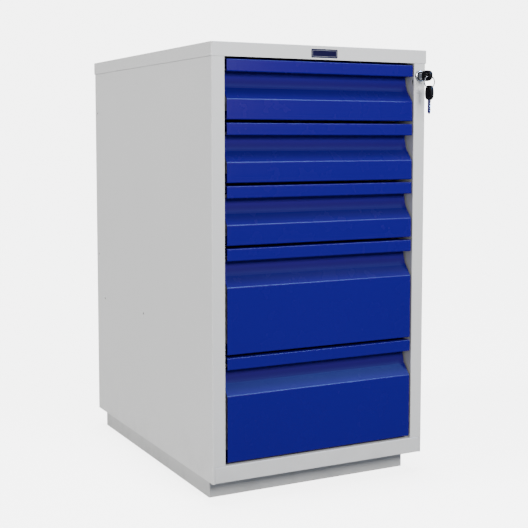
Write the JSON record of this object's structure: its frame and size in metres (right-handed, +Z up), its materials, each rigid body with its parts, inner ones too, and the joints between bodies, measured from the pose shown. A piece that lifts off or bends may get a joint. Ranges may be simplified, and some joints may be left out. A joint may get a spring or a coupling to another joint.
{
  "type": "workbench drawer cabinet",
  "caption": "Upright steel drawer cabinet with folded-sheet fronts, telescopic slides and a key lock with a lifting bar.",
  "frame": {"origin": "on the floor, under the middle of the body's width and depth", "axes": "+Z up, drawers open towards -Y, +X to the right seen from the front"},
  "size_m": [0.463, 0.684, 0.84],
  "materials": {
    "body_paint": "light grey powder coat, semi-matt",
    "plinth_paint": "light grey powder coat, semi-matt",
    "front_paint": "blue powder coat, satin",
    "box_paint": "light grey powder coat, semi-matt",
    "slide_steel": "bright zinc plate",
    "cage_steel": "zinc plate, greased",
    "fastener_steel": "zinc plate",
    "lock_metal": "chrome plate",
    "bar_steel": "zinc plate",
    "key_steel": "nickel plate",
    "key_plastic": "black moulded plastic",
    "badge_face": "dark blue, glossy, bare"
  },
  "bodies": {
    "cabinet": {"side_panel_left": "body_paint", "side_panel_right": "body_paint", "upright_left": "body_paint", "upright_right": "body_paint", "top_cover": "body_paint", "top_rail": "body_paint", "bottom_panel": "body_paint", "back_panel": "body_paint", "back_rivets": "fastener_steel", "plinth": "plinth_paint", "plinth_bolts": "fastener_steel", "plinth_nuts": "fastener_steel", "badge_plate": "badge_face", "lock_housing": "lock_metal", "lock_nut": "fastener_steel", "bar_guides": "fastener_steel", "slide_outer_1": "slide_steel", "slide_outer_2": "slide_steel", "slide_outer_3": "slide_steel", "slide_outer_4": "slide_steel", "slide_outer_5": "slide_steel"},
    "lock_core": {"lock_plug": "lock_metal", "lock_cam": "lock_metal"},
    "lock_rod": {"lock_bar": "bar_steel"},
    "key": {"key_blade": "key_steel", "key_head": "key_plastic"},
    "ring": {"key_ring": "key_steel"},
    "spare_key": {"spare_key_blade": "key_steel", "spare_key_head": "key_plastic"},
    "drawer_1": {"drawer_front_1": "front_paint", "drawer_box_1": "box_paint", "slide_inner_1": "slide_steel"},
    "slide_1": {"slide_middle_1": "slide_steel"},
    "outer_balls_1": {"cage_outer_1": "cage_steel"},
    "inner_balls_1": {"cage_inner_1": "cage_steel"},
    "drawer_2": {"drawer_front_2": "front_paint", "drawer_box_2": "box_paint", "slide_inner_2": "slide_steel"},
    "slide_2": {"slide_middle_2": "slide_steel"},
    "outer_balls_2": {"cage_outer_2": "cage_steel"},
    "inner_balls_2": {"cage_inner_2": "cage_steel"},
    "drawer_3": {"drawer_front_3": "front_paint", "drawer_box_3": "box_paint", "slide_inner_3": "slide_steel"},
    "slide_3": {"slide_middle_3": "slide_steel"},
    "outer_balls_3": {"cage_outer_3": "cage_steel"},
    "inner_balls_3": {"cage_inner_3": "cage_steel"},
    "drawer_4": {"drawer_front_4": "front_paint", "drawer_box_4": "box_paint", "slide_inner_4": "slide_steel"},
    "slide_4": {"slide_middle_4": "slide_steel"},
    "outer_balls_4": {"cage_outer_4": "cage_steel"},
    "inner_balls_4": {"cage_inner_4": "cage_steel"},
    "drawer_5": {"drawer_front_5": "front_paint", "drawer_box_5": "box_paint", "slide_inner_5": "slide_steel"},
    "slide_5": {"slide_middle_5": "slide_steel"},
    "outer_balls_5": {"cage_outer_5": "cage_steel"},
    "inner_balls_5": {"cage_inner_5": "cage_steel"}
  },
  "joints": [
    {"name": "drawer_1_pull", "type": "slide", "parent": "cabinet", "child": "drawer_1", "axis": [0, -1, 0], "range_m": [0, 0.55]},
    {"name": "slide_1_run", "type": "slide", "parent": "cabinet", "child": "slide_1", "axis": [0, -1, 0], "range_m": [0, 0.275]},
    {"name": "outer_balls_1_run", "type": "slide", "parent": "cabinet", "child": "outer_balls_1", "axis": [0, -1, 0], "range_m": [0, 0.1375]},
    {"name": "inner_balls_1_run", "type": "slide", "parent": "cabinet", "child": "inner_balls_1", "axis": [0, -1, 0], "range_m": [0, 0.4125]},
    {"name": "drawer_2_pull", "type": "slide", "parent": "cabinet", "child": "drawer_2", "axis": [0, -1, 0], "range_m": [0, 0.55]},
    {"name": "slide_2_run", "type": "slide", "parent": "cabinet", "child": "slide_2", "axis": [0, -1, 0], "range_m": [0, 0.275]},
    {"name": "outer_balls_2_run", "type": "slide", "parent": "cabinet", "child": "outer_balls_2", "axis": [0, -1, 0], "range_m": [0, 0.1375]},
    {"name": "inner_balls_2_run", "type": "slide", "parent": "cabinet", "child": "inner_balls_2", "axis": [0, -1, 0], "range_m": [0, 0.4125]},
    {"name": "drawer_3_pull", "type": "slide", "parent": "cabinet", "child": "drawer_3", "axis": [0, -1, 0], "range_m": [0, 0.55]},
    {"name": "slide_3_run", "type": "slide", "parent": "cabinet", "child": "slide_3", "axis": [0, -1, 0], "range_m": [0, 0.275]},
    {"name": "outer_balls_3_run", "type": "slide", "parent": "cabinet", "child": "outer_balls_3", "axis": [0, -1, 0], "range_m": [0, 0.1375]},
    {"name": "inner_balls_3_run", "type": "slide", "parent": "cabinet", "child": "inner_balls_3", "axis": [0, -1, 0], "range_m": [0, 0.4125]},
    {"name": "drawer_4_pull", "type": "slide", "parent": "cabinet", "child": "drawer_4", "axis": [0, -1, 0], "range_m": [0, 0.55]},
    {"name": "slide_4_run", "type": "slide", "parent": "cabinet", "child": "slide_4", "axis": [0, -1, 0], "range_m": [0, 0.275]},
    {"name": "outer_balls_4_run", "type": "slide", "parent": "cabinet", "child": "outer_balls_4", "axis": [0, -1, 0], "range_m": [0, 0.1375]},
    {"name": "inner_balls_4_run", "type": "slide", "parent": "cabinet", "child": "inner_balls_4", "axis": [0, -1, 0], "range_m": [0, 0.4125]},
    {"name": "drawer_5_pull", "type": "slide", "parent": "cabinet", "child": "drawer_5", "axis": [0, -1, 0], "range_m": [0, 0.55]},
    {"name": "slide_5_run", "type": "slide", "parent": "cabinet", "child": "slide_5", "axis": [0, -1, 0], "range_m": [0, 0.275]},
    {"name": "outer_balls_5_run", "type": "slide", "parent": "cabinet", "child": "outer_balls_5", "axis": [0, -1, 0], "range_m": [0, 0.1375]},
    {"name": "inner_balls_5_run", "type": "slide", "parent": "cabinet", "child": "inner_balls_5", "axis": [0, -1, 0], "range_m": [0, 0.4125]},
    {"name": "key_turn", "type": "hinge", "parent": "cabinet", "child": "lock_core", "pos_m": [0.217, -0.32, 0.7897], "axis": [0, -1, 0], "range_deg": [0, 90]},
    {"name": "lock_rod_lift", "type": "slide", "parent": "cabinet", "child": "lock_rod", "axis": [0, 0, 1], "range_m": [0, 0.0099]},
    {"name": "key_pull", "type": "slide", "parent": "lock_core", "child": "key", "axis": [0, -1, 0], "range_m": [0, 0.05]},
    {"name": "ring_swing", "type": "hinge", "parent": "key", "child": "ring", "pos_m": [0.217, -0.352, 0.7897], "axis": [1, 0, 0], "range_deg": [-50, 8]},
    {"name": "spare_key_swing", "type": "hinge", "parent": "ring", "child": "spare_key", "pos_m": [0.217, -0.352, 0.7648], "axis": [1, 0, 0], "range_deg": [-50, 8]}
  ],
  "couplings": [
    {"joint": "slide_1_run", "follows": "drawer_1_pull", "ratio": 0.5},
    {"joint": "outer_balls_1_run", "follows": "drawer_1_pull", "ratio": 0.25},
    {"joint": "inner_balls_1_run", "follows": "drawer_1_pull", "ratio": 0.75},
    {"joint": "slide_2_run", "follows": "drawer_2_pull", "ratio": 0.5},
    {"joint": "outer_balls_2_run", "follows": "drawer_2_pull", "ratio": 0.25},
    {"joint": "inner_balls_2_run", "follows": "drawer_2_pull", "ratio": 0.75},
    {"joint": "slide_3_run", "follows": "drawer_3_pull", "ratio": 0.5},
    {"joint": "outer_balls_3_run", "follows": "drawer_3_pull", "ratio": 0.25},
    {"joint": "inner_balls_3_run", "follows": "drawer_3_pull", "ratio": 0.75},
    {"joint": "slide_4_run", "follows": "drawer_4_pull", "ratio": 0.5},
    {"joint": "outer_balls_4_run", "follows": "drawer_4_pull", "ratio": 0.25},
    {"joint": "inner_balls_4_run", "follows": "drawer_4_pull", "ratio": 0.75},
    {"joint": "slide_5_run", "follows": "drawer_5_pull", "ratio": 0.5},
    {"joint": "outer_balls_5_run", "follows": "drawer_5_pull", "ratio": 0.25},
    {"joint": "inner_balls_5_run", "follows": "drawer_5_pull", "ratio": 0.75},
    {"joint": "lock_rod_lift", "follows": "key_turn", "m_per_rad": 0.0063022}
  ]
}
